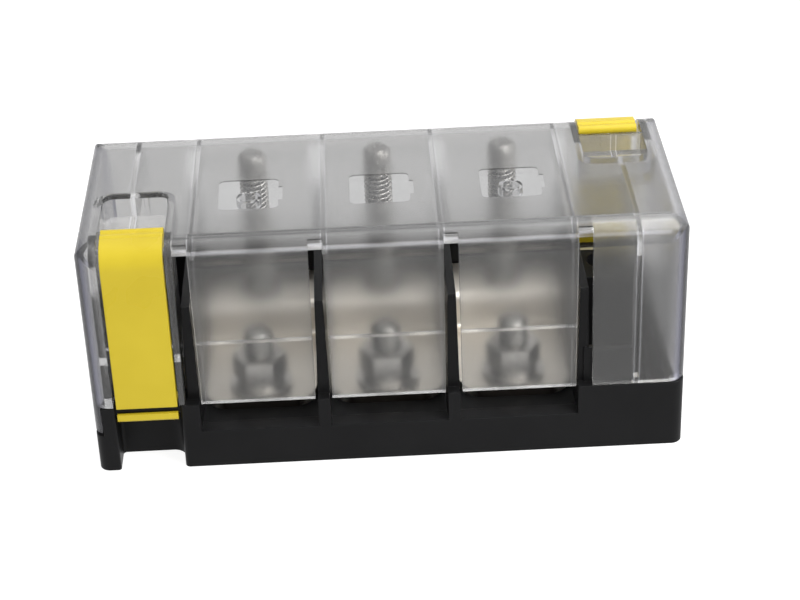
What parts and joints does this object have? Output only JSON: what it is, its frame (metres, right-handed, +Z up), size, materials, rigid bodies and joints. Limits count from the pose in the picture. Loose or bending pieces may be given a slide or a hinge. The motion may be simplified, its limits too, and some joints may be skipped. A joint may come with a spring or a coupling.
{
  "type": "covered fuse block",
  "caption": "Low rectangular fuse block for heavy leads: black moulded base, clear lift-off cover with break-off flaps, yellow swing latches, stepped plates with threaded studs.",
  "frame": {"origin": "middle of the surface that the block stands on, halfway along and across", "axes": "+X along the row of circuits, +Z up; the front, with the terminal studs, faces -Y"},
  "size_m": [0.1574, 0.068, 0.068],
  "materials": {
    "black_moulding": "black glass-filled moulding, fine satin grain",
    "clear_moulding": "clear moulding, frosted outside with polished windows, edges and latch frames",
    "yellow_moulding": "yellow moulding, smooth",
    "tinned_plate": "tin-plated copper strip, satin",
    "stainless_stud": "stainless steel, rolled thread",
    "stainless_hardware": "stainless steel, turned and pressed"
  },
  "bodies": {
    "base": {"base": "black_moulding", "circuit_plate_1": "tinned_plate", "fuse_stud_1": "stainless_stud", "terminal_stud_1": "stainless_stud", "flat_washer_1": "stainless_hardware", "lock_washer_1": "stainless_hardware", "terminal_nut_1": "stainless_hardware", "circuit_plate_2": "tinned_plate", "fuse_stud_2": "stainless_stud", "terminal_stud_2": "stainless_stud", "flat_washer_2": "stainless_hardware", "lock_washer_2": "stainless_hardware", "terminal_nut_2": "stainless_hardware", "circuit_plate_3": "tinned_plate", "fuse_stud_3": "stainless_stud", "terminal_stud_3": "stainless_stud", "flat_washer_3": "stainless_hardware", "lock_washer_3": "stainless_hardware", "terminal_nut_3": "stainless_hardware"},
    "cover": {"cover": "clear_moulding"},
    "latch_front": {"latch_front": "yellow_moulding"},
    "latch_rear": {"latch_rear": "yellow_moulding"}
  },
  "joints": [
    {"name": "cover_lift", "type": "slide", "parent": "base", "child": "cover", "axis": [0, 0, 1], "range_m": [0, 0.09]},
    {"name": "latch_front_swing", "type": "hinge", "parent": "base", "child": "latch_front", "pos_m": [-0.06405, -0.0309, 0.0179], "axis": [1, 0, 0], "range_deg": [0, 100]},
    {"name": "latch_rear_swing", "type": "hinge", "parent": "base", "child": "latch_rear", "pos_m": [0.06405, 0.0309, 0.0179], "axis": [-1, 0, 0], "range_deg": [0, 100]}
  ]
}
